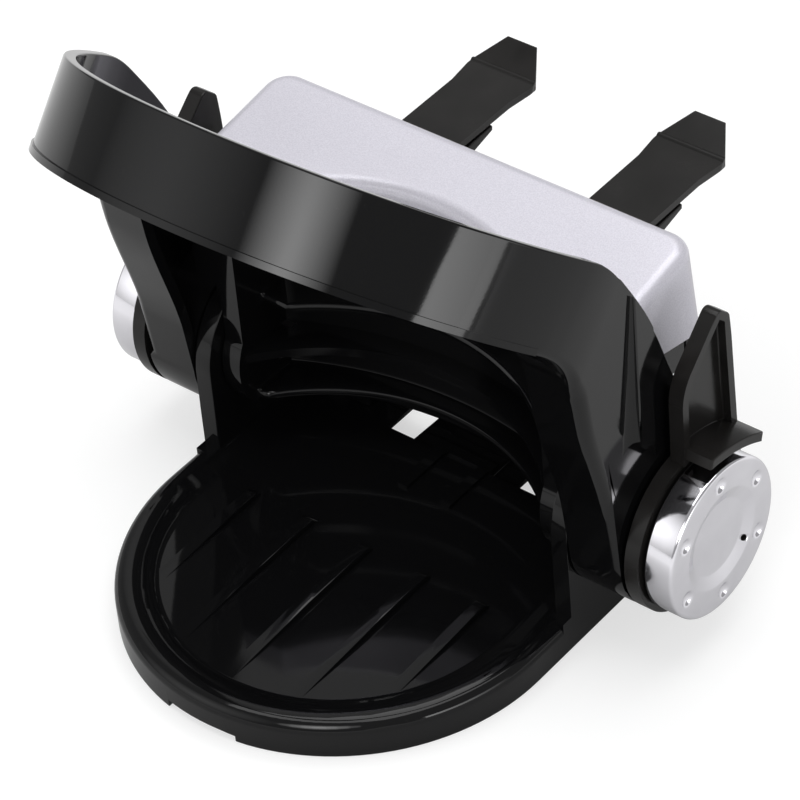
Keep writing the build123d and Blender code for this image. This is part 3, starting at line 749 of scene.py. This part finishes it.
CAP_SIZES = {
    "Steps": 240, "Corner points": 5, "Dimples": 6, "Dimple circle": 12.0 * MM,
    "Dimple radius": 1.6 * MM, "Dimple depth": 0.75 * MM, "Pinhole circle": 8.5 * MM,
    "Pinhole angle": radians(-37), "Pinhole radius": 0.6 * MM, "Pinhole level": 5.05 * MM,
    "Pinhole depth": 1.0 * MM, "Face from": 5.0 * MM, "Start": CAP_START * MM,
    # black satin on the pinhole's walls is a painted shade for the dark inside the hole
    "Height": HUB_HEIGHT, "Material": finishes["chrome"], "Hole shade material": finishes["satin_black"],
}
for side, name in ((1.0, "hub_cap_right"), (-1.0, "hub_cap_left")):
    turned = grow(cap_tree, cap_profile(), {**CAP_SIZES, "Side": side})
    cap = settle(turned, name, plain=False)
    size = [round(value, 4) for value in cap.dimensions]
    print(name, "faces", len(cap.data.polygons), "box", size)

# %% [markdown]
# Four pan-head screws hold the back plate. One screw is enough to model: a cylinder whose end is
# domed by Set Position, a cross cut by a Mesh Boolean of two thin boxes, and a shank. Instance on
# Points sets it at each place, turned a little differently, as screws are left by hand. An array
# would keep them in a row and all alike.

# %% A screw's domed head
SCREW_INPUTS = {
    "Places": "Geometry", "Head radius": "Float", "Head height": "Float", "Dome": "Float",
    "Shank radius": "Float", "Shank length": "Float", "Drive length": "Float",
    "Drive width": "Float", "Drive depth": "Float", "Seed": "Int", "Material": "Material",
}


def lifted(tree, geometry, height):
    """Moves a geometry along Z."""
    shift = add(tree, "ShaderNodeCombineXYZ", {"Z": height}).outputs["Vector"]
    move = {"Geometry": geometry, "Translation": shift}
    return add(tree, "GeometryNodeTransform", move).outputs["Geometry"]


def domed_head(tree, given):
    """A round head on Z = 0 whose top falls off towards its edge."""
    size = {"Vertices": 32, "Fill Segments": 5, "Radius": given["Head radius"],
            "Depth": given["Head height"]}
    head = add(tree, "GeometryNodeMeshCylinder", size, fill_type="TRIANGLE_FAN").outputs["Mesh"]
    head = lifted(tree, head, calc(tree, "DIVIDE", given["Head height"], 2.0))
    place = add(tree, "GeometryNodeInputPosition").outputs["Position"]
    point = add(tree, "ShaderNodeSeparateXYZ", {"Vector": place}).outputs
    flat = add(tree, "ShaderNodeCombineXYZ", {"X": point["X"], "Y": point["Y"]}).outputs["Vector"]
    radius = add(tree, "ShaderNodeVectorMath", {0: flat}, operation="LENGTH").outputs["Value"]
    share = calc(tree, "POWER", calc(tree, "DIVIDE", radius, given["Head radius"]), 2.0)
    top = calc(tree, "GREATER_THAN", point["Z"], calc(tree, "MULTIPLY", given["Head height"], 0.9))
    depth = calc(tree, "MULTIPLY", share, given["Dome"])
    drop = calc(tree, "MULTIPLY", depth, calc(tree, "MULTIPLY", top, -1.0))
    shift = add(tree, "ShaderNodeCombineXYZ", {"Z": drop}).outputs["Vector"]
    bowed = {"Geometry": head, "Offset": shift}
    return add(tree, "GeometryNodeSetPosition", bowed).outputs["Geometry"]


screw_tree, screw_given, screw_made = start_tree("pan_screws", SCREW_INPUTS)
head = domed_head(screw_tree, screw_given)
print("screw tree, nodes with the head", len(screw_tree.nodes))


# %% The cross drive
def cross_drive(tree, given):
    """Two crossed boxes that stand out of the head's top."""
    boxes = []
    deep = calc(tree, "MULTIPLY", given["Drive depth"], 2.0)
    for x, y in (("Drive length", "Drive width"), ("Drive width", "Drive length")):
        size = add(tree, "ShaderNodeCombineXYZ", {"X": given[x], "Y": given[y], "Z": deep})
        box = add(tree, "GeometryNodeMeshCube", {"Size": size.outputs["Vector"]}).outputs["Mesh"]
        boxes.append(lifted(tree, box, given["Head height"]))
    return boxes


def driven(tree, given, head):
    """The head with its drive; the boxes cross, so each is linked to the cut by itself."""
    cut = add(tree, "GeometryNodeMeshBoolean", {"Mesh 1": head}, operation="DIFFERENCE",
              solver="EXACT")
    for box in cross_drive(tree, given):
        tree.links.new(box, cut.inputs["Mesh 2"])
    return cut.outputs["Mesh"]


head = driven(screw_tree, screw_given, head)
print("screw tree, nodes with the drive", len(screw_tree.nodes))


# %% One screw at each place
def with_shank(tree, given, head):
    """A head and its shank, joined."""
    size = {"Vertices": 24, "Radius": given["Shank radius"], "Depth": given["Shank length"]}
    shank = add(tree, "GeometryNodeMeshCylinder", size).outputs["Mesh"]
    shank = lifted(tree, shank, calc(tree, "DIVIDE", given["Shank length"], -2.0))
    screw = tree.nodes.new("GeometryNodeJoinGeometry")
    for part in (head, shank):
        tree.links.new(part, screw.inputs[0])
    return screw.outputs[0]


def at_places(tree, given, screw):
    """The screw on every point, with its axis along Y and its drive at a random angle."""
    limits = {2: 0.0, 3: pi / 2, "Seed": given["Seed"]}
    turn = add(tree, "FunctionNodeRandomValue", limits, data_type="FLOAT").outputs[1]
    angle = add(tree, "ShaderNodeCombineXYZ", {"X": -pi / 2, "Y": turn}).outputs["Vector"]
    spread = {"Points": given["Places"], "Instance": screw, "Rotation": angle}
    screws = add(tree, "GeometryNodeInstanceOnPoints", spread).outputs["Instances"]
    screws = add(tree, "GeometryNodeRealizeInstances", {"Geometry": screws}).outputs["Geometry"]
    return painted(tree, screws, given["Material"])


screw = with_shank(screw_tree, screw_given, head)
screw_tree.links.new(at_places(screw_tree, screw_given, screw), screw_made["Geometry"])
print("screw tree, nodes in all", len(screw_tree.nodes))

# %% Set the four screws in the back plate
BACK_FACE = 19.6
SCREW_PLACES = [(-30.0, -6.5), (30.0, -6.5), (-37.5, 22.5), (37.5, 22.5)]
SCREW_SIZES = {
    "Head radius": 2.3 * MM, "Head height": 1.6 * MM, "Dome": 0.7 * MM, "Shank radius": 1.3 * MM,
    "Shank length": 5.0 * MM, "Drive length": 2.5 * MM, "Drive width": 0.55 * MM,
    "Drive depth": 0.9 * MM, "Seed": 4, "Material": finishes["steel"],
}
points = [(x * MM, BACK_FACE * MM, z * MM + HUB_HEIGHT) for x, z in SCREW_PLACES]
places = bpy.data.meshes.new("screw_places")
places.from_pydata(points, [], [])
screws = settle(grow(screw_tree, places, SCREW_SIZES), "back_plate_screws")
print("screws", len(SCREW_PLACES), "faces", len(screws.data.polygons))

# %% [markdown]
# The studio starts with a floor. In the picture the ground is white, with a soft shadow close to
# the object. A white floor alone would turn grey where less light falls, and too much light would
# wash the shadow out, so this floor is grey and glows: for the camera, more with distance, and for
# mirror images only away from the object, because chrome is read by the change of what it mirrors.

# %% Floor
scene.view_settings.view_transform = "Standard"
FLOOR_HALF = 3.0
FLOOR_GREY = (0.45, 0.45, 0.45, 1)
WHITE = (1, 1, 1, 1)
FLOOR_GLOW, FAR_GLOW, GLOW_CHANGE = 0.6, 1.0, (0.2, 0.6)
MIRRORED_GLOW, MIRRORED_CHANGE = 0.45, (0.03, 0.16)


def floor_glow(tree):
    """The floor's glow by its distance from the object, for the camera and for reflections."""
    path = add(tree, "ShaderNodeLightPath").outputs
    place = add(tree, "ShaderNodeTexCoord").outputs["Object"]
    away = add(tree, "ShaderNodeVectorMath", {0: place}, operation="LENGTH").outputs["Value"]
    seen = calc(tree, "MAXIMUM", path["Is Camera Ray"], path["Is Transmission Ray"])
    glow = calc(tree, "MULTIPLY", seen, between(tree, away, FLOOR_GLOW, FAR_GLOW, *GLOW_CHANGE))
    mirrored = between(tree, away, 0.0, MIRRORED_GLOW, *MIRRORED_CHANGE)
    return calc(tree, "MULTIPLY_ADD", path["Is Glossy Ray"], mirrored, glow)


def pale_floor():
    """A wide plain floor without gloss."""
    corners = [(-FLOOR_HALF, -FLOOR_HALF, 0), (FLOOR_HALF, -FLOOR_HALF, 0),
               (FLOOR_HALF, FLOOR_HALF, 0), (-FLOOR_HALF, FLOOR_HALF, 0)]
    mesh = bpy.data.meshes.new("floor")
    mesh.from_pydata(corners, [], [(0, 1, 2, 3)])
    finish, tree, shader = start_finish("floor", Base_Color=FLOOR_GREY, Roughness=0.9)
    shader.inputs["Specular IOR Level"].default_value = 0.0
    shader.inputs["Emission Color"].default_value = WHITE
    tree.links.new(floor_glow(tree), shader.inputs["Emission Strength"])
    mesh.materials.append(finish)
    floor = bpy.data.objects.new("floor", mesh)
    scene.collection.objects.link(floor)
    return floor


print("floor", [round(value, 1) for value in pale_floor().dimensions])

# %% [markdown]
# The sky is what lies behind the lamps. A picture of a room could stand there, but an even colour
# is easier to judge. For the camera it is white, as the ground in the picture is. For everything
# else it is a dim grey, so that black plastic keeps its depth.

# %% Sky
SKY_STRENGTH = 0.35


def sky(strength):
    """An even dim grey surrounding that is white for the camera."""
    world = bpy.data.worlds.new("studio")
    world.use_nodes = True
    tree = world.node_tree
    backdrop = tree.nodes["Background"]
    backdrop.inputs["Color"].default_value = WHITE
    seen = add(tree, "ShaderNodeLightPath").outputs["Is Camera Ray"]
    tree.links.new(between(tree, seen, strength, 1.0, 0.0, 1.0), backdrop.inputs["Strength"])
    scene.world = world
    return world


print("sky", sky(SKY_STRENGTH).name)

# %% [markdown]
# A wide light hangs overhead. The others have their places from the picture: the ring's band is a
# curved mirror, and its two highlights can only be a lamp high in front and a low bright panel at
# the right, while the caps' bright side walls show a broad pale panel at the front left. A dim
# panel at the back left gives the tray's rim its grey sheen. Each panel is brightest in the middle
# or at one side, as cloth over a lamp is, so its mirror image has a soft edge.

# %% Soft lights
AIM = Vector((0, -0.03, 0.06))
MIDDLE_FADE = (0.05, 0.5)
SIDE_FADE = (0.1, 1.0)


def fade(light, brightest):
    """Dims a light from its middle or one side towards its edge, as cloth over a lamp does."""
    light.use_nodes = True
    tree = light.node_tree
    place = add(tree, "ShaderNodeNewGeometry").outputs["Parametric"]
    if brightest == "middle":
        links = {0: place, 1: (0.5, 0.5, 0)}
        away = add(tree, "ShaderNodeVectorMath", links, operation="DISTANCE").outputs["Value"]
        strength = between(tree, away, 1.0, 0.0, *MIDDLE_FADE)
    else:
        away = add(tree, "ShaderNodeSeparateXYZ", {0: place}).outputs["X"]
        strength = between(tree, away, 1.0, 0.0, *SIDE_FADE)
    tree.links.new(strength, tree.nodes["Emission"].inputs["Strength"])


def softbox(name, direction, distance, width, height, power, brightest):
    """A soft light in a direction from the object, aimed back at it."""
    light = bpy.data.lights.new(name, "AREA")
    if brightest:
        fade(light, brightest)
    light.shape = "RECTANGLE"
    light.size = width
    light.size_y = height
    light.energy = power
    holder = bpy.data.objects.new(name, light)
    way = Vector(direction).normalized()
    holder.location = AIM + way * distance
    holder.rotation_euler = way.to_track_quat("Z", "Y").to_euler()
    scene.collection.objects.link(holder)
    print("light", name, [round(value, 2) for value in holder.location])


# name: direction, distance, width and height in metres, power in watts, where it is brightest
LIGHTS = {
    "overhead": ((0.0, 0.15, 1.0), 1.2, 1.2, 1.2, 11.0, None),
    "front_high": ((0.317, -0.797, 0.513), 1.0, 0.62, 0.62, 9.5, "middle"),
    "front_left": ((-0.5, -0.78, 0.38), 1.0, 1.4, 1.2, 5.6, "middle"),
    "back_left": ((-0.507, 0.566, 0.651), 1.2, 1.2, 1.2, 1.5, "middle"),
    "right_low": ((0.997, -0.035, 0.07), 1.0, 0.74, 0.22, 3.2, "side"),
}
for name, values in LIGHTS.items():
    softbox(name, *values)
